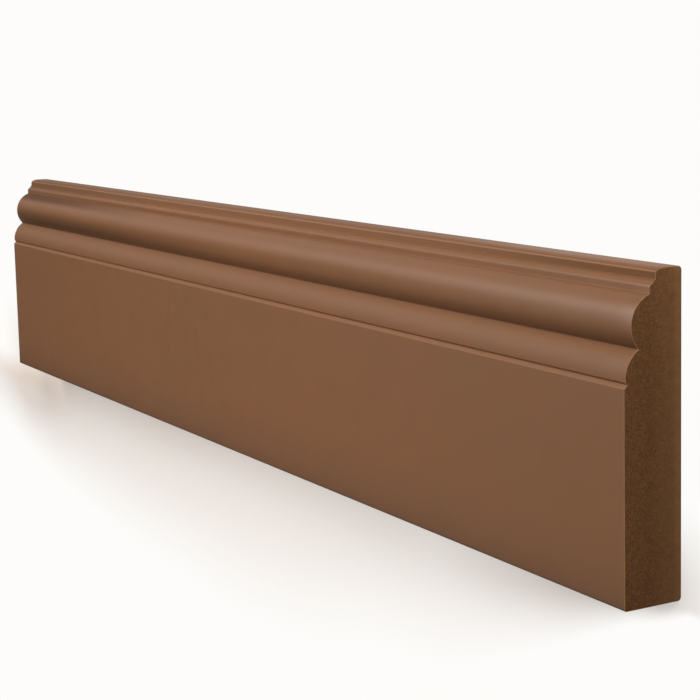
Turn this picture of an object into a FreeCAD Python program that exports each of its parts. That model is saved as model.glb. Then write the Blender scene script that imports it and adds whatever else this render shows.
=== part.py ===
"""A length of skirting board, milled from one board and sawn square at both ends.

The board lies on its back. +X runs along its length, +Y runs up the board from the plain
bottom edge to the moulded top edge, and +Z comes out of the moulded face. The origin is the
middle of the back, which lies on Z = 0.

The whole object is one moulded section carried along the length. The section is drawn by two
measures of each point: how far it lies behind the plain face, and how high it stands above
the bottom edge. Sizes are in millimetres.
"""

import FreeCAD, Part
import math
import os

NODE = "skirting_board"

# Board
LENGTH = 635.0
HEIGHT = 119.0
THICKNESS = 25.0

# Eased long corners: the toe at the foot of the face, and the two corners of the back
TOE_EASE = 1.0
BACK_EASE = 1.5

# Top edge, which rolls down to its front arris, and the fillet, which leans back a little
ROLL_DEEP = 4.0
ROLL_HIGH = 1.2
FILLET_HIGH = 2.9
FILLET_LEAN = 0.3

# Small step under the fillet, then the bead, with its upright front and round shoulder
STEP_HIGH = 0.75
STEP_DEEP = 0.75
BEAD_HIGH = 3.85
BEAD_DEEP = 1.7
BEAD_FRONT = 2.0
SHOULDER_HIGH = 1.35
SHOULDER_DEEP = 0.85

# Torus, the large half round
TORUS_HIGH = 18.75
TORUS_DEEP = 7.9
TORUS_TUCK = 3.2

# Ovolo, the quarter round under the torus, which ends in a short upright lip
OVOLO_HIGH = 10.35
OVOLO_DEEP = 5.8
OVOLO_LIP = 0.6
OVOLO_BACK = 0.45

# Quirk cut in under the ovolo, and the chamfer that leads from it out to the plain face
QUIRK_DEEP = 0.9
QUIRK_HIGH = 0.8
CHAMFER_HIGH = 1.35

DOWN = (0.0, -1.0)
UP = (0.0, 1.0)
FORWARD = (-1.0, 0.0)
BACKWARD = (1.0, 0.0)


def place(point):
    """Puts a point of the section, depth behind the face and height, at one sawn end."""
    behind, high = point
    return FreeCAD.Vector(-LENGTH / 2, high - HEIGHT / 2, THICKNESS - behind)


def line(start, end):
    """A flat of the section."""
    return Part.LineSegment(place(start), place(end)).toShape()


def arc(start, middle, end):
    """A round of the section, through three points."""
    return Part.Arc(place(start), place(middle), place(end)).toShape()


def round_from(touch, heading, end):
    """A round that leaves `touch` in the direction `heading` and ends at `end`.

    The middle of such an arc lies over the middle of its chord, on the line that halves the
    angle between the heading and the chord.
    """
    chord = (end[0] - touch[0], end[1] - touch[1])
    length = math.hypot(*chord)
    halving = (heading[0] + chord[0] / length, heading[1] + chord[1] / length)
    reach = length ** 2 / 2 / (halving[0] * chord[0] + halving[1] * chord[1])
    middle = (touch[0] + halving[0] * reach, touch[1] + halving[1] * reach)
    return arc(touch, middle, end)


def nosed_round(low, nose, high):
    """A round between two quirks that stands out in front of them as far as depth `nose`.

    The chord of the two quirks, carried on to the upright at that depth, crosses it at a
    point from which the touching circle's nose lies as far off as the square root of the
    product of the distances to the two quirks.
    """
    rise = (high[1] - low[1]) / (high[0] - low[0])
    crossing = low[1] + rise * (nose - low[0])
    to_low = math.hypot(low[0] - nose, low[1] - crossing)
    to_high = math.hypot(high[0] - nose, high[1] - crossing)
    along = math.copysign(math.sqrt(to_low * to_high), rise)
    return arc(low, (nose, crossing + along), high)


def moulding():
    """The moulded edge, from the top of the plain face up to the level top of the board."""
    torus_quirk = OVOLO_BACK + OVOLO_DEEP
    torus_nose = torus_quirk - TORUS_TUCK
    bead_front = torus_nose + TORUS_DEEP
    step_front = bead_front + BEAD_DEEP
    fillet_foot = step_front + STEP_DEEP
    fillet_head = fillet_foot + FILLET_LEAN

    level = (fillet_head + ROLL_DEEP, HEIGHT)
    arris = (fillet_head, level[1] - ROLL_HIGH)
    step_back = (fillet_foot, arris[1] - FILLET_HIGH)
    step_top = (step_front, step_back[1])
    bead_top = (step_front, step_top[1] - STEP_HIGH)
    torus_top = (bead_front, bead_top[1] - BEAD_HIGH)
    front_top = (bead_front, torus_top[1] + BEAD_FRONT)
    shoulder = (bead_front + SHOULDER_DEEP, front_top[1] + SHOULDER_HIGH)
    ovolo_top = (torus_quirk, torus_top[1] - TORUS_HIGH)
    ovolo_nose = (OVOLO_BACK, ovolo_top[1] - OVOLO_HIGH)
    lip = (OVOLO_BACK, ovolo_nose[1] - OVOLO_LIP)
    quirk = (OVOLO_BACK + QUIRK_DEEP, lip[1] - QUIRK_HIGH)
    face_top = (0.0, quirk[1] - CHAMFER_HIGH)

    edges = [
        line(face_top, quirk),
        line(quirk, lip),
        line(lip, ovolo_nose),
        round_from(ovolo_nose, UP, ovolo_top),
        nosed_round(ovolo_top, torus_nose, torus_top),
        line(torus_top, front_top),
        round_from(front_top, UP, shoulder),
        line(shoulder, bead_top),
        line(bead_top, step_top),
        line(step_top, step_back),
        line(step_back, arris),
        round_from(level, FORWARD, arris),
    ]
    return face_top, edges, level


def plain_edges(face_top, level):
    """The rest of the outline: back, bottom and plain face, with their eased corners."""
    back_top = (THICKNESS, HEIGHT - BACK_EASE)
    back_foot = (THICKNESS, BACK_EASE)
    foot_back = (THICKNESS - BACK_EASE, 0.0)
    foot_toe = (TOE_EASE, 0.0)
    toe = (0.0, TOE_EASE)
    top_back = (THICKNESS - BACK_EASE, HEIGHT)
    return [
        line(level, top_back),
        round_from(top_back, BACKWARD, back_top),
        line(back_top, back_foot),
        round_from(back_foot, DOWN, foot_back),
        line(foot_back, foot_toe),
        round_from(foot_toe, FORWARD, toe),
        line(toe, face_top),
    ]


def skirting_board():
    """The board: its section carried along the length in one solid."""
    face_top, moulded, level = moulding()
    outline = Part.Wire(moulded + plain_edges(face_top, level))
    return Part.Face(outline).extrude(FreeCAD.Vector(LENGTH, 0, 0))


def main():
    """Builds the board and writes its solid."""
    board = skirting_board()
    size = board.BoundBox
    print(f"{NODE}: {size.XLength:.2f} x {size.YLength:.2f} x {size.ZLength:.2f} mm")
    print(f"solids {len(board.Solids)}, valid {board.isValid()}, {board.Volume / 1000:.0f} cm3")
    os.makedirs("parts", exist_ok=True)
    board.exportStep(f"parts/{NODE}.step")


main()
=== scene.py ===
"""Dresses a length of skirting board: milled fibreboard, spray coated, sawn square at its ends.

The board lies on its back. +X runs along its length, +Y runs up the board from its plain bottom
edge to its moulded top edge, and +Z comes out of its moulded face. The sawn end at +X is the one
nearest the camera. Lengths are in metres, but the section and names ending in _mm hold
millimetres, and so do the heights that the finishes read.
"""

import logging
import math
from dataclasses import dataclass, field
from enum import Enum
from typing import Any

import bpy
import numpy as np
from mathutils import Matrix, Vector


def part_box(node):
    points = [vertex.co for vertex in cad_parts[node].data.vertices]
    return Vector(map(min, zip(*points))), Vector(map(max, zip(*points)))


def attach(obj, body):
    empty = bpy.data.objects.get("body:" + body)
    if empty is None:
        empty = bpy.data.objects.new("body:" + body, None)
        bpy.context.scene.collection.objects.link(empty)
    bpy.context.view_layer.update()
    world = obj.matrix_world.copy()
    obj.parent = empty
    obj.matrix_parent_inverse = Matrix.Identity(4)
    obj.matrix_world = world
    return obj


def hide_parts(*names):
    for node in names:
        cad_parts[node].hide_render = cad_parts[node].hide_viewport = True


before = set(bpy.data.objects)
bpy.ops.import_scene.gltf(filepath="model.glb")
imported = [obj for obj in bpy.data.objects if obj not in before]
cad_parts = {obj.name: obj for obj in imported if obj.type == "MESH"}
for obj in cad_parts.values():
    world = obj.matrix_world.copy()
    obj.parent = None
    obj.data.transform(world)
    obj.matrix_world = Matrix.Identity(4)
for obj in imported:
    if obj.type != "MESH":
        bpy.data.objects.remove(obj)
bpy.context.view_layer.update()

MM = 0.001
Pair = tuple[float, float]
Triple = tuple[float, float, float]
Tree = bpy.types.NodeTree
Socket = bpy.types.NodeSocket

PLUS = {"operation": "ADD"}
MINUS = {"operation": "SUBTRACT"}
TIMES = {"operation": "MULTIPLY"}
TIMES_PLUS = {"operation": "MULTIPLY_ADD"}
DIVIDED = {"operation": "DIVIDE"}
LARGER = {"operation": "MAXIMUM"}
EASED = {"interpolation_type": "SMOOTHSTEP"}
COLOURS = {"data_type": "RGBA"}

log = logging.getLogger("skirting_board")


class Skin(Enum):
    """The surfaces of the board, by the material slot that their faces wear."""

    COATED = 0
    SAWN = 1


class Heading(Enum):
    """Directions in the section: depth behind the face, then height."""

    UP = (0.0, 1.0)
    DOWN = (0.0, -1.0)
    FORWARD = (-1.0, 0.0)
    BACKWARD = (1.0, 0.0)


def linear_colour(hex_colour: str) -> tuple[float, float, float, float]:
    """Turns an sRGB hex colour into the linear colour that a shader takes.

    Args:
        hex_colour: A colour such as "#7C583E".

    Returns:
        Linear red, green and blue, and an alpha of 1.
    """
    srgb = np.array([int(hex_colour[i : i + 2], 16) for i in (1, 3, 5)]) / 255
    linear = np.where(srgb <= 0.04045, srgb / 12.92, ((srgb + 0.055) / 1.055) ** 2.4)
    return (*(float(c) for c in linear), 1.0)


def add_node(
    tree: Tree,
    kind: str,
    settings: dict[str, Any] | None = None,
    **sockets: Any,
) -> bpy.types.Node:
    """Adds a node to a tree, with its settings and its inputs.

    Args:
        tree: The node tree.
        kind: The node's type, such as "ShaderNodeTexNoise".
        settings: Attributes of the node, by name. "stops" holds a colour ramp's stops in order,
            each a position and a linear colour.
        **sockets: Inputs by name, with underscores for spaces, or by number as in_0. A value
            that is an output socket is linked, and any other is set on the input.

    Returns:
        The new node.
    """
    node = tree.nodes.new(kind)
    for name, value in (settings or {}).items():
        if name != "stops":
            setattr(node, name, value)
            continue
        elements = node.color_ramp.elements
        while len(elements) < len(value):
            elements.new(1.0)
        for element, (position, colour) in zip(elements, value):
            element.position, element.color = position, colour
    for name, value in sockets.items():
        key = int(name[3:]) if name.startswith("in_") else name.replace("_", " ")
        if isinstance(value, Socket):
            tree.links.new(value, node.inputs[key])
        else:
            node.inputs[key].default_value = value
    return node


def add_graph(tree: Tree, value: Socket, stops: tuple[Pair, ...]) -> Socket:
    """Adds a graph to a tree: straight runs from stop to stop, and level beyond the last ones.

    Args:
        tree: The node tree.
        value: The socket that the graph reads.
        stops: The graph's stops in order, each what is read and what is given there.

    Returns:
        What the graph gives, as a grey.
    """
    first, last = stops[0][0], stops[-1][0]
    share = add_node(tree, "ShaderNodeMapRange", Value=value, From_Min=first, From_Max=last)
    greys = [((at - first) / (last - first), (given, given, given, 1.0)) for at, given in stops]
    graph = add_node(tree, "ShaderNodeValToRGB", {"stops": greys}, Fac=share.outputs["Result"])
    return graph.outputs["Color"]


def seen_share(tree: Tree) -> tuple[Socket, Socket]:
    """Tells the rays by which a thing is seen from those by which it only lights others.

    Args:
        tree: The node tree of a material or of the world.

    Returns:
        Two sockets: 1 for a camera ray, and 1 for a camera, glossy or transmission ray.
    """
    rays = add_node(tree, "ShaderNodeLightPath")
    shine = add_node(
        tree,
        "ShaderNodeMath",
        PLUS,
        in_0=rays.outputs["Is Glossy Ray"],
        in_1=rays.outputs["Is Transmission Ray"],
    )
    seen = add_node(
        tree,
        "ShaderNodeMath",
        PLUS | {"use_clamp": True},
        in_0=rays.outputs["Is Camera Ray"],
        in_1=shine.outputs[0],
    )
    return rays.outputs["Is Camera Ray"], seen.outputs[0]


def circle_points(start: Pair, middle: Pair, end: Pair, count: int = 120) -> np.ndarray:
    """Samples the arc of the circle through three points.

    The centre is where the upright bisectors of two chords meet. The angles at the centre run
    from the start, past the middle, to the end.

    Args:
        start: The arc's first point.
        middle: A point on the arc.
        end: The arc's last point.
        count: How many points to return.

    Returns:
        An array of count rows of depth and height.
    """
    a, b, c = (np.array(p, dtype=float) for p in (start, middle, end))
    chords = np.array([b - a, c - a])
    centre = a + np.linalg.solve(2 * chords, (chords**2).sum(axis=1))
    angles = np.unwrap([math.atan2(*(p - centre)[::-1]) for p in (a, b, c)])
    sweep = np.linspace(angles[0], angles[2], count)
    radius = math.hypot(*(a - centre))
    return centre + radius * np.column_stack([np.cos(sweep), np.sin(sweep)])


def round_from(touch: Pair, heading: Heading, end: Pair) -> np.ndarray:
    """Samples a round that leaves a point in a given direction and ends at another.

    Its middle lies over the middle of its chord, on the line that halves the angle between the
    heading and the chord.

    Args:
        touch: The first point, where the round runs on from a flat.
        heading: The direction of that flat.
        end: The last point.

    Returns:
        An array of rows of depth and height.
    """
    chord = np.subtract(end, touch)
    length = math.hypot(*chord)
    halving = np.array(heading.value) + chord / length
    middle = np.array(touch) + halving * length**2 / 2 / (halving @ chord)
    return circle_points(touch, tuple(middle), end)


def nosed_round(low: Pair, nose: float, high: Pair) -> np.ndarray:
    """Samples a round between two quirks that stands out in front of them to a given depth.

    The chord of the quirks, carried on to the upright at that depth, crosses it at a point from
    which the nose lies as far off as the square root of the product of the distances to them.

    Args:
        low: The lower quirk.
        nose: The depth of the front of the round.
        high: The upper quirk.

    Returns:
        An array of rows of depth and height.
    """
    rise = (high[1] - low[1]) / (high[0] - low[0])
    crossing = low[1] + rise * (nose - low[0])
    reach = math.dist(low, (nose, crossing)) * math.dist(high, (nose, crossing))
    along = math.copysign(math.sqrt(reach), rise)
    return circle_points(low, (nose, crossing + along), high)


@dataclass(frozen=True)
class Section:
    """The section of the board, by its members from the top edge down, in millimetres."""

    height: float
    thickness: float
    toe_ease: float = 1.0
    back_ease: float = 1.5
    roll_deep: float = 4.0
    roll_high: float = 1.2
    fillet_high: float = 2.9
    fillet_lean: float = 0.3
    step_high: float = 0.75
    step_deep: float = 0.75
    bead_high: float = 3.85
    bead_deep: float = 1.7
    bead_front: float = 2.0
    shoulder_high: float = 1.35
    shoulder_deep: float = 0.85
    torus_high: float = 18.75
    torus_deep: float = 7.9
    torus_tuck: float = 3.2
    ovolo_high: float = 10.35
    ovolo_deep: float = 5.8
    ovolo_lip: float = 0.6
    ovolo_back: float = 0.45
    quirk_deep: float = 0.9
    quirk_high: float = 0.8
    chamfer_high: float = 1.35

    def moulding(self) -> list[np.ndarray]:
        """Samples the moulded edge, from the top of the plain face to the level top.

        Returns:
            The members in order, each an array of rows of depth and height.
        """
        torus_quirk = self.ovolo_back + self.ovolo_deep
        torus_nose = torus_quirk - self.torus_tuck
        bead_front = torus_nose + self.torus_deep
        step_front = bead_front + self.bead_deep
        fillet_foot = step_front + self.step_deep
        fillet_head = fillet_foot + self.fillet_lean

        level = (fillet_head + self.roll_deep, self.height)
        arris = (fillet_head, level[1] - self.roll_high)
        step_back = (fillet_foot, arris[1] - self.fillet_high)
        step_top = (step_front, step_back[1])
        bead_top = (step_front, step_top[1] - self.step_high)
        torus_top = (bead_front, bead_top[1] - self.bead_high)
        front_top = (bead_front, torus_top[1] + self.bead_front)
        shoulder = (bead_front + self.shoulder_deep, front_top[1] + self.shoulder_high)
        ovolo_top = (torus_quirk, torus_top[1] - self.torus_high)
        ovolo_nose = (self.ovolo_back, ovolo_top[1] - self.ovolo_high)
        lip = (self.ovolo_back, ovolo_nose[1] - self.ovolo_lip)
        quirk = (self.ovolo_back + self.quirk_deep, lip[1] - self.quirk_high)
        face_top = (0.0, quirk[1] - self.chamfer_high)
        return [
            np.array([face_top, quirk, lip]),
            round_from(ovolo_nose, Heading.UP, ovolo_top),
            nosed_round(ovolo_top, torus_nose, torus_top),
            round_from(front_top, Heading.UP, shoulder),
            np.array([bead_top, step_top, step_back]),
            round_from(level, Heading.FORWARD, arris)[::-1],
        ]

    def outline(self) -> np.ndarray:
        """Samples the whole outline, once round from the toe, up the face and down the back.

        Returns:
            An array of rows of depth and height.
        """
        back, top, ease = self.thickness, self.height, self.back_ease
        corners = [
            round_from((self.toe_ease, 0.0), Heading.FORWARD, (0.0, self.toe_ease)),
            *self.moulding(),
            round_from((back - ease, top), Heading.BACKWARD, (back, top - ease)),
            round_from((back, ease), Heading.DOWN, (back - ease, 0.0)),
        ]
        return np.vstack(corners)


def lengths_round(loop: np.ndarray) -> np.ndarray:
    """Gives the length of each side of a closed loop, the last one back to its start."""
    return np.linalg.norm(np.roll(loop, -1, axis=0) - loop, axis=1)


def spread_round(loop: np.ndarray, weights: np.ndarray, count: int) -> np.ndarray:
    """Spreads points round a closed loop, evenly in a weight that each of its sides has.

    Args:
        loop: The loop's points.
        weights: The weight of the side that follows each point.
        count: How many points to return.

    Returns:
        The new points, found by straight interpolation along the loop.
    """
    closed = np.vstack([loop, loop[:1]])
    gone = np.concatenate([[0.0], np.cumsum(weights)])
    wanted = np.arange(count) * gone[-1] / count
    return np.column_stack([np.interp(wanted, gone, closed[:, k]) for k in (0, 1)])


def soften(loop: np.ndarray, reach: float, spacing: float) -> np.ndarray:
    """Rounds every corner of a closed loop a little, as a sprayed coat does.

    The loop is spread evenly by length, and each coordinate is averaged along it under a bell
    curve of the given reach. That is done on its waves: one of frequency f keeps the share
    exp(-2 (pi f reach)^2).

    Args:
        loop: The loop's points.
        reach: The bell curve's standard deviation.
        spacing: The distance between the points returned.

    Returns:
        The softened loop.
    """
    sides = lengths_round(loop)
    count = round(sides.sum() / spacing)
    even = spread_round(loop, sides, count)
    waves = np.fft.fft(even, axis=0)
    kept = np.exp(-2 * (math.pi * np.fft.fftfreq(count, spacing) * reach) ** 2)
    return np.fft.ifft(waves * kept[:, None], axis=0).real


def thin_out(loop: np.ndarray, longest: float, widest_turn: float) -> np.ndarray:
    """Keeps fewer points where a closed loop is flat, and more where it turns.

    Args:
        loop: The loop's points, closely and evenly spaced.
        longest: The side that a flat gets.
        widest_turn: The turn between two sides on a round, in radians.

    Returns:
        The new loop, whose points are even in length plus turning.
    """
    heading = np.roll(loop, -1, axis=0) - np.roll(loop, 1, axis=0)
    angle = np.arctan2(heading[:, 1], heading[:, 0])
    turn = np.abs((np.roll(angle, -1) - angle + math.pi) % (2 * math.pi) - math.pi)
    weights = lengths_round(loop) / longest + turn / widest_turn
    return spread_round(loop, weights, round(weights.sum()))


@dataclass
class SkirtingBoard:
    """The board, as one closed surface: its softened section carried along its length."""

    node: str = "skirting_board"
    slot: str = "coated_board"
    body: str = "root"
    coat_round_mm: float = 0.15
    sawn_ease_mm: float = 0.2
    sawn_ease_steps: int = 3
    trace_mm: float = 0.04
    flat_side_mm: float = 3.0
    turn_deg: float = 4.0
    station_mm: float = 8.0
    crease_deg: float = 35.0
    low: Vector = field(init=False)
    high: Vector = field(init=False)

    def __post_init__(self) -> None:
        """Takes the board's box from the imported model."""
        self.low, self.high = (Vector(corner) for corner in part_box(self.node))

    def loop(self) -> np.ndarray:
        """Gives the closed outline in the frame, softened by the coat.

        Returns:
            An array of rows of Y and Z.
        """
        size = (self.high - self.low) / MM
        section = Section(height=size.y, thickness=size.z)
        smooth = soften(section.outline(), self.coat_round_mm, self.trace_mm)
        kept = thin_out(smooth, self.flat_side_mm, math.radians(self.turn_deg)) * MM
        behind, high = kept.T
        return np.column_stack([self.low.y + high, self.high.z - behind])

    def stations(self) -> tuple[np.ndarray, np.ndarray]:
        """Lays out the rings of points along the board.

        At each sawn end the outline is drawn in over a small quarter circle: a ring at the
        angle a lies 1 - cos a of the radius in from the end, and 1 - sin a of it inside the
        full outline. Between the two the rings are evenly spaced.

        Returns:
            The X of each ring, and how far each is drawn in from the full outline.
        """
        ease = self.sawn_ease_mm * MM
        angle = np.linspace(0, math.pi / 2, self.sawn_ease_steps + 1)
        start, inset = ease * (1 - np.cos(angle)), ease * (1 - np.sin(angle))
        length = self.high.x - self.low.x
        spans = round(length / MM / self.station_mm)
        middle = np.linspace(ease, length - ease, spans + 1)[1:-1]
        along = self.low.x + np.concatenate([start, middle, length - start[::-1]])
        return along, np.concatenate([inset, np.zeros_like(middle), inset[::-1]])

    def surface(self) -> tuple[np.ndarray, list[list[int]], np.ndarray]:
        """Carries the outline along the length and closes both ends.

        The point at station s and outline step t is the outline's point at t, moved along its
        inward normal by the station's inset, and placed at the station's X.

        Returns:
            The points, the faces and each face's material slot.
        """
        loop = self.loop()
        after = np.roll(loop, -1, axis=0)
        heading = after - np.roll(loop, 1, axis=0)
        heading /= np.linalg.norm(heading, axis=1)[:, None]
        area = 0.5 * np.sum(loop[:, 0] * after[:, 1] - loop[:, 1] * after[:, 0])
        inward = math.copysign(1.0, area) * np.column_stack([-heading[:, 1], heading[:, 0]])
        along, inset = self.stations()
        rings, steps = len(along), len(loop)

        points = np.empty((rings, steps, 3))
        points[..., 0] = along[:, None]
        points[..., 1:] = loop + inset[:, None, None] * inward

        first = np.arange(rings - 1)[:, None] * steps + np.arange(steps)
        second = np.arange(rings - 1)[:, None] * steps + np.roll(np.arange(steps), -1)
        order = [first, first + steps, second + steps, second]
        if area > 0:
            order = order[::-1]
        quads = np.stack(order, axis=-1).reshape(-1, 4)
        ends = [np.arange(steps), (rings - 1) * steps + np.arange(steps)[::-1]]
        if area > 0:
            ends = [end[::-1] for end in ends]
        skins = np.concatenate([np.full(len(quads), Skin.COATED.value), [Skin.SAWN.value] * 2])
        return points.reshape(-1, 3), quads.tolist() + [end.tolist() for end in ends], skins

    def build(self) -> bpy.types.Object:
        """Makes the board's object, which takes the place of its plain solid.

        Returns:
            The object, at the origin and with no materials yet.
        """
        points, faces, skins = self.surface()
        mesh = bpy.data.meshes.new("moulded_board")
        mesh.from_pydata(points.tolist(), [], faces)
        mesh.polygons.foreach_set("use_smooth", np.ones(len(faces), dtype=bool))
        mesh.polygons.foreach_set("material_index", skins.astype(np.int32))
        mesh.set_sharp_from_angle(angle=math.radians(self.crease_deg))
        mesh.update()
        piece = bpy.data.objects.new("moulded_board", mesh)
        bpy.context.scene.collection.objects.link(piece)
        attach(piece, self.body)
        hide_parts(self.node)
        log.info("moulded_board: %d points, %d faces", len(points), len(faces))
        return piece

    def dress(self, piece: bpy.types.Object, finishes: dict[Skin, bpy.types.Material]) -> None:
        """Puts a finish on each skin of the board.

        Args:
            piece: The board's object.
            finishes: The material of each skin.
        """
        for skin in sorted(finishes, key=lambda s: s.value):
            piece.data.materials.append(finishes[skin])


def new_material(name: str) -> tuple[bpy.types.Material, Tree]:
    """Makes an empty material that uses nodes.

    Args:
        name: The material's name.

    Returns:
        The material and its node tree.
    """
    material = bpy.data.materials.new(name)
    material.use_nodes = True
    material.node_tree.nodes.clear()
    return material, material.node_tree


@dataclass(frozen=True)
class PaintedShadingPatch:
    """A patch of painted shade on the board, or of painted highlight where it is below zero.

    Its heights are a graph of its strength by the height above the bottom edge, in millimetres,
    and its reach is the X at which it begins and the X at which it is full. Its painted darkening
    darkens the colour by that much, and its extra roughness roughens the lacquer by that much.
    Below zero they lighten the colour and smooth the lacquer.
    that much darker, and a drier one that much rougher. Below zero they are the other way.
    """

    heights: tuple[Pair, ...]
    reach: Pair
    painted_darkening: float
    extra_roughness: float


@dataclass(frozen=True)
class SprayedCoat:
    """Brown satin lacquer, sprayed over milled fibreboard.

    Spraying leaves an even, closed skin with a soft, wide sheen. The eye sees faint clouds of a
    redder and a greener brown where the film's thickness varies, a very fine peel in the gloss,
    a fuller gloss on the torus and the bead, which catch most of the spray, and a rougher top
    edge. Light and shade are painted into the colour as well. The tone graph paints shade at
    the toe, in the quirk under the torus and on the fillet and the roll, and paints highlights
    on the ledge, the torus's upper part and the bead. Patches of painted shade darken the film
    over and under the torus and on the top members towards the far end, and on the fillet at
    the near end, and a painted highlight pales the level top there. A still paler painted
    highlight line runs along a sawn edge and along the front arris of the top edge.

    The sheen, which is a roughness, and the tone, which is painted light and shade, are graphs
    by the height above the bottom edge in millimetres. The grain is drawn a little coarser than
    real, so that it shows.
    """

    name: str = "sprayed_satin_lacquer_on_fibreboard"
    brown: str = "#7A4A1D"
    red_brown: str = "#7B4A1D"
    olive_brown: str = "#784A1D"
    # Painted highlight along the sawn edges and the front arris of the top edge.
    highlight_brown: str = "#9A6E4A"
    ior: float = 1.63
    sheen: tuple[Pair, ...] = (
        (0.0, 0.70),
        (78.0, 0.68),
        (78.4, 0.56),
        (79.8, 0.56),
        (80.3, 0.68),
        (97.0, 0.65),
        (100.5, 0.51),
        (105.5, 0.51),
        (108.0, 0.54),
        (113.8, 0.54),
        (114.8, 0.80),
        (118.7, 0.80),
        (119.0, 0.68),
    )
    # Painted shade at the toe, under the torus, on fillet and roll; painted highlights elsewhere.
    tone: tuple[Pair, ...] = (
        (0.0, 0.55),
        (2.5, 0.75),
        (8.0, 0.86),
        (16.0, 0.94),
        (26.0, 1.0),
        (78.2, 1.0),
        (78.7, 1.14),
        (80.0, 1.14),
        (80.5, 1.2),
        (81.2, 1.0),
        (91.2, 1.0),
        (91.7, 0.74),
        (94.5, 0.88),
        (98.0, 1.0),
        (102.0, 1.0),
        (104.8, 1.08),
        (108.0, 1.0),
        (110.2, 1.0),
        (110.6, 1.1),
        (112.3, 1.06),
        (112.9, 1.0),
        (113.4, 1.13),
        (114.2, 1.15),
        (114.8, 1.06),
        (115.2, 0.98),
        (117.5, 0.95),
        (118.0, 0.90),
        (119.0, 0.93),
    )
    # Patches of painted shade, and last a painted highlight along the level top at the near end.
    patches: tuple[PaintedShadingPatch, ...] = (
        PaintedShadingPatch(
            heights=((106.0, 0.0), (108.6, 1.0), (110.3, 1.0), (110.8, 0.0)),
            reach=(-0.08, -0.30),
            painted_darkening=0.52,
            extra_roughness=0.6,
        ),
        PaintedShadingPatch(
            heights=((91.8, 0.0), (94.5, 1.0), (98.0, 0.8), (101.5, 0.0)),
            reach=(0.08, -0.25),
            painted_darkening=0.4,
            extra_roughness=-0.1,
        ),
        PaintedShadingPatch(
            heights=((111.6, 0.0), (112.6, 1.0), (118.5, 1.0), (119.0, 0.6)),
            reach=(-0.08, -0.30),
            painted_darkening=0.16,
            extra_roughness=0.11,
        ),
        PaintedShadingPatch(
            heights=((114.9, 0.0), (115.4, 1.0), (117.2, 1.0), (117.6, 0.0)),
            reach=(0.20, 0.31),
            painted_darkening=0.2,
            extra_roughness=0.14,
        ),
        PaintedShadingPatch(
            heights=((118.2, 0.0), (118.8, 1.0), (119.0, 1.0)),
            reach=(0.12, 0.26),
            painted_darkening=-0.2,
            extra_roughness=-0.14,
        ),
    )
    # Share of the painted highlight along the front arris, by height.
    arris: tuple[Pair, ...] = ((117.4, 0.0), (117.6, 0.7), (117.9, 0.7), (118.1, 0.0))
    cloud_mm: float = 55.0
    cloud_stops: Triple = (0.35, 0.5, 0.65)
    haze_mm: float = 9.0
    haze_tone: Pair = (0.94, 1.06)
    haze_sheen: Pair = (0.92, 1.08)
    grain_mm: float = 0.35
    grain_tone: Pair = (0.95, 1.05)
    peel_mm: float = 1.1
    peel_deep_mm: float = 0.006
    edge_mm: float = 0.3

    def add_shading_patches(self, tree: Tree, along: Socket, up: Socket) -> tuple[Socket, Socket]:
        """Adds up the patches of painted shade and painted highlight.

        Args:
            tree: The material's node tree.
            along: The X along the board.
            up: The height above the bottom edge, in millimetres.

        Returns:
            How much painted darkening they add, and how much extra roughness.
        """
        painted_darkening, extra_roughness = 0.0, 0.0
        for patch in self.patches:
            begun = add_node(
                tree,
                "ShaderNodeMapRange",
                EASED,
                Value=along,
                From_Min=patch.reach[0],
                From_Max=patch.reach[1],
            )
            here = add_node(
                tree,
                "ShaderNodeMath",
                TIMES,
                in_0=add_graph(tree, up, patch.heights),
                in_1=begun.outputs["Result"],
            ).outputs[0]
            painted_darkening, extra_roughness = (
                add_node(
                    tree, "ShaderNodeMath", TIMES_PLUS, in_0=here, in_1=share, in_2=so_far
                ).outputs[0]
                for share, so_far in ((patch.painted_darkening, painted_darkening), (patch.extra_roughness, extra_roughness))
            )
        return painted_darkening, extra_roughness

    def film(self, tree: Tree, place: Socket, haze: Socket, up: Socket, painted_darkening: Socket) -> Socket:
        """Mixes the brown of the whole film.

        Args:
            tree: The material's node tree.
            place: The point on the board.
            haze: The noise of the haze.
            up: The height above the bottom edge, in millimetres.
            painted_darkening: How much painted shade the patches add; below zero, painted
                highlight.

        Returns:
            The colour: the clouds' browns, times the shares left by the painted darkening, the
                haze,
            the grain and the tone's painted light and shade.
        """
        cloud = add_node(
            tree, "ShaderNodeTexNoise", Vector=place, Scale=1 / (self.cloud_mm * MM), Detail=3.0
        )
        browns = map(linear_colour, (self.olive_brown, self.brown, self.red_brown))
        clouds = add_node(
            tree,
            "ShaderNodeValToRGB",
            {"stops": list(zip(self.cloud_stops, browns))},
            Fac=cloud.outputs["Fac"],
        )
        grain = add_node(
            tree, "ShaderNodeTexNoise", Vector=place, Scale=1 / (self.grain_mm * MM), Detail=2.0
        )
        # The patches' painted shade darkens the film; below zero it paints it paler.
        strength = add_node(tree, "ShaderNodeMath", MINUS, in_0=1.0, in_1=painted_darkening).outputs[0]
        noises = ((haze, self.haze_tone), (grain.outputs["Fac"], self.grain_tone))
        shares = [
            add_node(
                tree, "ShaderNodeMapRange", Value=noise, To_Min=dark, To_Max=pale
            ).outputs["Result"]
            for noise, (dark, pale) in noises
        ]
        # The tone graph multiplies in painted light and shade by height.
        for share in (*shares, add_graph(tree, up, self.tone)):
            strength = add_node(
                tree, "ShaderNodeMath", TIMES, in_0=strength, in_1=share
            ).outputs[0]
        brown = add_node(
            tree,
            "ShaderNodeMix",
            COLOURS | {"blend_type": "MULTIPLY"},
            Factor=1.0,
            in_6=clouds.outputs["Color"],
            in_7=strength,
        )
        return brown.outputs[2]

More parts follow.
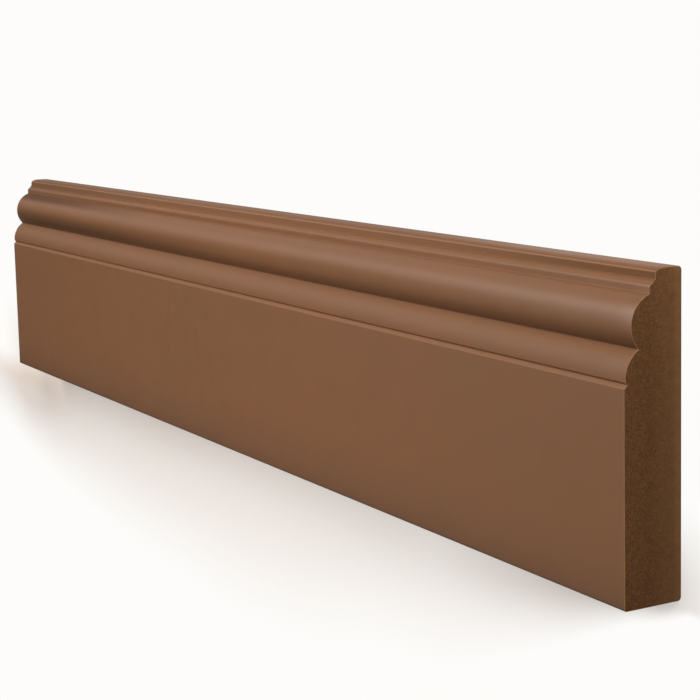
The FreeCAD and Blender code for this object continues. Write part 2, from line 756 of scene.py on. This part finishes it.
    def edge_highlights(self, tree: Tree, along: Socket, up: Socket, end: float) -> Socket:
        """Finds where a painted highlight lines the edges.

        Args:
            tree: The material's node tree.
            along: The X along the board.
            up: The height above the bottom edge, in millimetres.
            end: The X of a sawn end, either side of the origin.

        Returns:
            The share of painted highlight: at the sawn edges, and along the front arris of the
                top.
        """
        reach = add_node(tree, "ShaderNodeMath", {"operation": "ABSOLUTE"}, in_0=along)
        sawn = add_node(
            tree,
            "ShaderNodeMapRange",
            EASED,
            Value=reach.outputs[0],
            From_Min=end - self.edge_mm * MM,
            From_Max=end,
        )
        highlit = add_node(
            tree,
            "ShaderNodeMath",
            LARGER,
            in_0=sawn.outputs["Result"],
            in_1=add_graph(tree, up, self.arris),
        )
        return highlit.outputs[0]

    def material(self, low: Vector, high: Vector) -> bpy.types.Material:
        """Builds the lacquer's material.

        Args:
            low: The lowest corner of the board's box.
            high: The highest corner of the board's box.

        Returns:
            The material.
        """
        material, tree = new_material(self.name)
        place = add_node(tree, "ShaderNodeTexCoord").outputs["Object"]
        split = add_node(tree, "ShaderNodeSeparateXYZ", Vector=place)
        along = split.outputs["X"]
        up = add_node(
            tree,
            "ShaderNodeMapRange",
            Value=split.outputs["Y"],
            From_Min=low.y,
            From_Max=high.y,
            To_Max=(high.y - low.y) / MM,
        ).outputs["Result"]
        haze = add_node(
            tree, "ShaderNodeTexNoise", Vector=place, Scale=1 / (self.haze_mm * MM), Detail=4.0
        ).outputs["Fac"]
        # Patches of painted shade and highlight, with their extra roughness.
        painted_darkening, extra_roughness = self.add_shading_patches(tree, along, up)
        # Mixes in the painted highlight along the edges.
        colour = add_node(
            tree,
            "ShaderNodeMix",
            COLOURS,
            Factor=self.edge_highlights(tree, along, up, high.x),
            in_6=self.film(tree, place, haze, up, painted_darkening),
            in_7=linear_colour(self.highlight_brown),
        )
        hazed = add_node(
            tree,
            "ShaderNodeMapRange",
            Value=haze,
            To_Min=self.haze_sheen[0],
            To_Max=self.haze_sheen[1],
        )
        sheen = add_node(
            tree,
            "ShaderNodeMath",
            TIMES,
            in_0=add_graph(tree, up, self.sheen),
            in_1=hazed.outputs["Result"],
        )
        roughness = add_node(
            tree,
            "ShaderNodeMath",
            PLUS | {"use_clamp": True},
            in_0=sheen.outputs[0],
            in_1=extra_roughness,
        )
        peel = add_node(
            tree, "ShaderNodeTexNoise", Vector=place, Scale=1 / (self.peel_mm * MM), Detail=3.0
        )
        bump = add_node(
            tree,
            "ShaderNodeBump",
            Strength=1.0,
            Distance=self.peel_deep_mm * MM,
            Height=peel.outputs["Fac"],
        )
        skin = add_node(
            tree,
            "ShaderNodeBsdfPrincipled",
            Base_Color=colour.outputs[2],
            Roughness=roughness.outputs[0],
            IOR=self.ior,
            Normal=bump.outputs["Normal"],
        )
        add_node(tree, "ShaderNodeOutputMaterial", Surface=skin.outputs["BSDF"])
        return material


@dataclass(frozen=True)
class SawnFibreboard:
    """Medium density fibreboard, cut across with a fine saw.

    The saw leaves a matt, slightly torn nap of short fibres. The eye sees a fine dark and pale
    speckle and a few loose fibre ends that catch the light. Painted light pales the tone towards
    the moulded edge, and painted shade deepens it towards the toe. A paler, more olive layer runs
    along the back, partly the board's own back layer and partly painted light against the shade
    near the floor. The speckle is drawn coarser than real fibre ends, so that it shows.

    The share of the back's paler fibre and painted light is a graph by the height above the
    back in millimetres.
    """

    name: str = "sawn_medium_density_fibreboard"
    fibre: str = "#6B482B"
    dark_fibre: str = "#5A3A1F"
    pale_fibre: str = "#7D593C"
    # Partly the back's own paler fibre, partly painted light against the shade near the floor.
    back_fibre_and_light: str = "#8F6743"
    roughness: float = 0.9
    specular: float = 0.1
    speck_mm: float = 0.65
    speck_stops: Triple = (0.32, 0.5, 0.7)
    clump_mm: float = 3.0
    clump_tone: Pair = (0.8, 1.2)
    tuft_mm: float = 0.9
    nap_deep_mm: float = 0.05
    back_layer_and_light: tuple[Pair, ...] = ((1.8, 0.9), (2.8, 0.68), (3.8, 0.42), (8.0, 0.26), (14.0, 0.0))
    # Painted shade at the toe and painted light at the moulded edge of the sawn end.
    toe_painted_shade: float = 0.9
    top_painted_light: float = 1.15

    def material(self, low: Vector, high: Vector) -> bpy.types.Material:
        """Builds the sawn board's material.

        Args:
            low: The lowest corner of the board's box.
            high: The highest corner of the board's box.

        Returns:
            The material.
        """
        material, tree = new_material(self.name)
        place = add_node(tree, "ShaderNodeTexCoord").outputs["Object"]
        speck = add_node(
            tree,
            "ShaderNodeTexNoise",
            Vector=place,
            Scale=1 / (self.speck_mm * MM),
            Detail=4.0,
            Roughness=0.65,
        )
        clump = add_node(
            tree, "ShaderNodeTexNoise", Vector=place, Scale=1 / (self.clump_mm * MM), Detail=3.0
        )
        tuft = add_node(
            tree, "ShaderNodeTexVoronoi", Vector=place, Scale=1 / (self.tuft_mm * MM)
        )
        browns = map(linear_colour, (self.dark_fibre, self.fibre, self.pale_fibre))
        fibres = add_node(
            tree,
            "ShaderNodeValToRGB",
            {"stops": list(zip(self.speck_stops, browns))},
            Fac=speck.outputs["Fac"],
        )
        split = add_node(tree, "ShaderNodeSeparateXYZ", Vector=place)
        depth = add_node(
            tree,
            "ShaderNodeMapRange",
            Value=split.outputs["Z"],
            From_Min=low.z,
            From_Max=high.z,
            To_Max=(high.z - low.z) / MM,
        ).outputs["Result"]
        # Mixes in the back's paler fibre and painted light.
        layered = add_node(
            tree,
            "ShaderNodeMix",
            COLOURS,
            Factor=add_graph(tree, depth, self.back_layer_and_light),
            in_6=fibres.outputs["Color"],
            in_7=linear_colour(self.back_fibre_and_light),
        )
        shade = add_node(
            tree,
            "ShaderNodeMapRange",
            Value=clump.outputs["Fac"],
            To_Min=self.clump_tone[0],
            To_Max=self.clump_tone[1],
        )
        # Painted light and shade: paler towards the moulded edge, deeper towards the toe.
        rise = add_node(
            tree,
            "ShaderNodeMapRange",
            Value=split.outputs["Y"],
            From_Min=low.y,
            From_Max=high.y,
            To_Min=self.toe_painted_shade,
            To_Max=self.top_painted_light,
        )
        tone = add_node(
            tree,
            "ShaderNodeMath",
            TIMES,
            in_0=shade.outputs["Result"],
            in_1=rise.outputs["Result"],
        )
        colour = add_node(
            tree,
            "ShaderNodeMix",
            COLOURS | {"blend_type": "MULTIPLY"},
            Factor=1.0,
            in_6=layered.outputs[2],
            in_7=tone.outputs[0],
        )
        nap = add_node(
            tree,
            "ShaderNodeMath",
            PLUS,
            in_0=speck.outputs["Fac"],
            in_1=tuft.outputs["Distance"],
        )
        bump = add_node(
            tree,
            "ShaderNodeBump",
            Strength=1.0,
            Distance=self.nap_deep_mm * MM,
            Height=nap.outputs[0],
        )
        skin = add_node(
            tree,
            "ShaderNodeBsdfPrincipled",
            Base_Color=colour.outputs[2],
            Roughness=self.roughness,
            Specular_IOR_Level=self.specular,
            Normal=bump.outputs["Normal"],
        )
        add_node(tree, "ShaderNodeOutputMaterial", Surface=skin.outputs["BSDF"])
        return material


@dataclass(frozen=True)
class Softbox:
    """A square area lamp that faces the origin from a given direction."""

    name: str
    towards: Triple
    distance: float
    side: float
    share: float
    colour: str = "#FAFCFF"

    def hang(self) -> bpy.types.Object:
        """Makes the lamp.

        Its power gives a level white surface at the origin the lamp's share of full white: a
        lamp of P watts at the distance d and the elevation e lights it by P sin e / (pi d)^2.

        Returns:
            The lamp's object.
        """
        way = Vector(self.towards).normalized()
        lamp = bpy.data.lights.new(self.name, "AREA")
        lamp.shape = "SQUARE"
        lamp.size = self.side
        lamp.energy = self.share * (math.pi * self.distance) ** 2 / way.z
        lamp.color = linear_colour(self.colour)[:3]
        holder = bpy.data.objects.new(self.name, lamp)
        holder.location = way * self.distance
        holder.rotation_euler = way.to_track_quat("Z", "Y").to_euler()
        holder.visible_camera = False
        bpy.context.scene.collection.objects.link(holder)
        return holder


@dataclass
class Studio:
    """The pale floor, the lamps, the white surround and the camera.

    The width and the share of the floor's shade are graphs by the X along the board, and its
    rise is one by the distance below the board's bottom edge. The wall's top and the ceiling
    are given by the upward part of the direction in which they are seen.
    """

    floor_side: float = 60.0
    # Warm tints painted on the lit floor, warmest at its foot: painted bounce light off the board.
    floor_colour: str = "#FDF0E5"
    painted_bounce_colour: str = "#FDE1C8"
    painted_bounce_reach: Pair = (0.006, 0.030)
    surround: str = "#FDFCFA"
    bounce_colour: str = "#B4AA9E"
    shade_width: tuple[Pair, ...] = (
        (-0.430, 0.045),
        (-0.382, 0.055),
        (-0.332, 0.062),
        (-0.240, 0.072),
        (-0.053, 0.080),
        (0.027, 0.075),
        (0.097, 0.062),
        (0.157, 0.056),
        (0.203, 0.043),
        (0.245, 0.029),
        (0.270, 0.020),
        (0.289, 0.013),
        (0.306, 0.009),
        (0.322, 0.004),
    )
    shade_share: tuple[Pair, ...] = (
        (-0.490, 0.0),
        (-0.435, 0.70),
        (-0.382, 1.2),
        (-0.332, 1.08),
        (-0.285, 0.86),
        (-0.240, 0.80),
        (-0.147, 0.80),
        (-0.053, 0.73),
        (0.097, 0.65),
        (0.157, 0.58),
        (0.250, 0.78),
        (0.289, 0.80),
        (0.306, 0.74),
        (0.322, 0.40),
        (0.380, 0.0),
    )
    shade_fade: Pair = (0.4, 1.35)
    shade_rise: tuple[Pair, ...] = ((0.010, 0.78), (0.032, 1.0))
    shade_start: Pair = (-0.038, -0.002)
    shade_start_far: Pair = (0.004, 0.024)
    shade_far: Pair = (-0.425, -0.322)
    ambient: float = 0.05
    ambient_colour: str = "#FFF2E4"
    wall_top: float = 0.02
    ceiling: float = 0.12
    lamps: tuple[Softbox, ...] = (
        Softbox("low_softbox", (0.656, 0.648, 0.386), distance=6.0, side=3.0, share=0.25),
        Softbox("far_softbox", (-0.503, 0.517, 0.693), distance=6.0, side=3.0, share=0.38),
        Softbox("near_softbox", (0.003, 0.048, 0.600), distance=0.60, side=0.5, share=0.41),
    )
    camera_place: Triple = (0.7958, 0.1328, 0.3970)
    camera_aim: Triple = (0.1275, 0.0290, 0.0250)
    camera_roll_deg: float = 1.362
    camera_lens_mm: float = 92.08
    camera_shift: float = -0.07
    camera_nearest: float = 0.01

    def shade(self, tree: Tree, along: Socket, off: Socket) -> Socket:
        """Finds how much of the board's shadow shows on the floor.

        It fades with the distance from the bottom edge over the shade's width there, begins
        softly at that edge, and begins further off past the far end.

        Args:
            tree: The floor's node tree.
            along: The X along the board.
            off: The distance below the board's bottom edge.

        Returns:
            The share of the lit floor in what the eye sees.
        """
        reach = add_node(
            tree,
            "ShaderNodeMath",
            DIVIDED,
            in_0=off,
            in_1=add_graph(tree, along, self.shade_width),
        )
        fade = add_node(
            tree,
            "ShaderNodeMapRange",
            EASED,
            Value=reach.outputs[0],
            From_Min=self.shade_fade[0],
            From_Max=self.shade_fade[1],
            To_Min=1.0,
            To_Max=0.0,
        )
        near, far = (
            add_node(
                tree, "ShaderNodeMapRange", EASED, Value=off, From_Min=low, From_Max=high
            ).outputs["Result"]
            for low, high in (self.shade_start, self.shade_start_far)
        )
        side = add_node(
            tree,
            "ShaderNodeMapRange",
            Value=along,
            From_Min=self.shade_far[0],
            From_Max=self.shade_far[1],
        )
        begun = add_node(
            tree, "ShaderNodeMix", Factor=side.outputs["Result"], in_2=far, in_3=near
        )
        lit_share = begun.outputs[0]
        factors = (
            fade.outputs["Result"],
            add_graph(tree, along, self.shade_share),
            add_graph(tree, off, self.shade_rise),
        )
        for factor in factors:
            lit_share = add_node(
                tree, "ShaderNodeMath", TIMES, in_0=lit_share, in_1=factor
            ).outputs[0]
        return lit_share

    def floor_material(self, foot: float) -> bpy.types.Material:
        """Makes the floor white to the eye, with the board's soft shadow kept on it.

        Below the board's bottom edge, where its shadow falls, the eye sees the lit floor, painted
        warm as if lit by brown light off the board, and warmer still close to it. Further off that
        blends into plain white, so that no lamp's pool shows. The light that the floor throws back
        on the board is that of a greyer floor.

        Args:
            foot: The Y of the board's bottom edge.

        Returns:
            The floor's material.
        """
        material, tree = new_material("matt_white_floor")
        place = add_node(tree, "ShaderNodeTexCoord").outputs["Object"]
        split = add_node(tree, "ShaderNodeSeparateXYZ", Vector=place)
        off = add_node(
            tree, "ShaderNodeMath", MINUS, in_0=foot, in_1=split.outputs["Y"]
        ).outputs[0]
        _, seen = seen_share(tree)
        plain = add_node(
            tree,
            "ShaderNodeMath",
            MINUS | {"use_clamp": True},
            in_0=seen,
            in_1=self.shade(tree, split.outputs["X"], off),
        )
        # Painted bounce: the floor's tint warms towards the board's foot.
        close = add_node(
            tree,
            "ShaderNodeMapRange",
            Value=off,
            From_Min=self.painted_bounce_reach[0],
            From_Max=self.painted_bounce_reach[1],
        )
        tinted = add_node(
            tree,
            "ShaderNodeMix",
            COLOURS,
            Factor=close.outputs["Result"],
            in_6=linear_colour(self.painted_bounce_colour),
            in_7=linear_colour(self.floor_colour),
        )
        paint = add_node(
            tree,
            "ShaderNodeMix",
            COLOURS,
            Factor=seen,
            in_6=linear_colour(self.bounce_colour),
            in_7=tinted.outputs[2],
        )
        lit = add_node(tree, "ShaderNodeBsdfDiffuse", Color=paint.outputs[2])
        white = add_node(tree, "ShaderNodeEmission", Color=linear_colour(self.surround))
        blend = add_node(
            tree,
            "ShaderNodeMixShader",
            Fac=plain.outputs[0],
            in_1=lit.outputs["BSDF"],
            in_2=white.outputs["Emission"],
        )
        add_node(tree, "ShaderNodeOutputMaterial", Surface=blend.outputs["Shader"])
        return material

    def lay_floor(self, foot: float) -> bpy.types.Object:
        """Makes the floor under the board.

        Args:
            foot: The Y of the board's bottom edge.

        Returns:
            The floor's object.
        """
        half = self.floor_side / 2
        corners = [(-half, -half, 0.0), (half, -half, 0.0), (half, half, 0.0), (-half, half, 0.0)]
        mesh = bpy.data.meshes.new("floor")
        mesh.from_pydata(corners, [], [(0, 1, 2, 3)])
        floor = bpy.data.objects.new("floor", mesh)
        floor.data.materials.append(self.floor_material(foot))
        bpy.context.scene.collection.objects.link(floor)
        return floor

    def light(self) -> None:
        """Hangs the lamps and sets the surround.

        The surround is white to the eye. In gloss and glass it is white low down, where it meets
        the floor, with a dim ceiling above that, and as a light it is that dim all round.
        """
        for lamp in self.lamps:
            lamp.hang()
        world = bpy.data.worlds.new("surround")
        bpy.context.scene.world = world
        world.use_nodes = True
        tree = world.node_tree
        tree.nodes.clear()
        filmed, seen = seen_share(tree)
        way = add_node(tree, "ShaderNodeTexCoord").outputs["Generated"]
        rise = add_node(tree, "ShaderNodeSeparateXYZ", Vector=way)
        low = add_node(
            tree,
            "ShaderNodeMapRange",
            EASED,
            Value=rise.outputs["Z"],
            From_Min=self.ceiling,
            From_Max=self.wall_top,
        )
        low_seen = add_node(
            tree, "ShaderNodeMath", TIMES, in_0=seen, in_1=low.outputs["Result"]
        )
        white_share = add_node(
            tree, "ShaderNodeMath", LARGER, in_0=filmed, in_1=low_seen.outputs[0]
        )
        strength = add_node(
            tree,
            "ShaderNodeMapRange",
            Value=white_share.outputs[0],
            To_Min=self.ambient,
            To_Max=1.0,
        )
        tint = add_node(
            tree,
            "ShaderNodeMix",
            COLOURS,
            Factor=white_share.outputs[0],
            in_6=linear_colour(self.ambient_colour),
            in_7=linear_colour(self.surround),
        )
        white = add_node(
            tree,
            "ShaderNodeBackground",
            Color=tint.outputs[2],
            Strength=strength.outputs["Result"],
        )
        add_node(tree, "ShaderNodeOutputWorld", Surface=white.outputs["Background"])

    def set_camera(self) -> bpy.types.Object:
        """Places the camera over the board, with the board's moulded edge towards the top.

        Returns:
            The camera's object.
        """
        place, aim = Vector(self.camera_place), Vector(self.camera_aim)
        backward = (place - aim).normalized()
        right = Vector((0.0, 1.0, 0.0)).cross(backward).normalized()
        turned = Matrix((right, backward.cross(right), backward)).transposed()
        roll = Matrix.Rotation(math.radians(-self.camera_roll_deg), 3, "Z")
        camera = bpy.data.cameras.new("camera")
        camera.lens = self.camera_lens_mm
        camera.shift_y = self.camera_shift
        camera.clip_start = self.camera_nearest
        holder = bpy.data.objects.new("camera", camera)
        holder.matrix_world = Matrix.Translation(place) @ (turned @ roll).to_4x4()
        bpy.context.scene.collection.objects.link(holder)
        bpy.context.scene.camera = holder
        return holder


def main() -> None:
    """Builds the studio and the board."""
    logging.basicConfig(level=logging.INFO, format="%(name)s: %(message)s")
    bpy.context.scene.view_settings.view_transform = "Standard"
    board = SkirtingBoard()
    studio = Studio()
    studio.lay_floor(board.low.y)
    studio.light()
    studio.set_camera()
    piece = board.build()
    finishes = {
        Skin.COATED: SprayedCoat().material(board.low, board.high),
        Skin.SAWN: SawnFibreboard().material(board.low, board.high),
    }
    board.dress(piece, finishes)


if __name__ == "__main__":
    main()
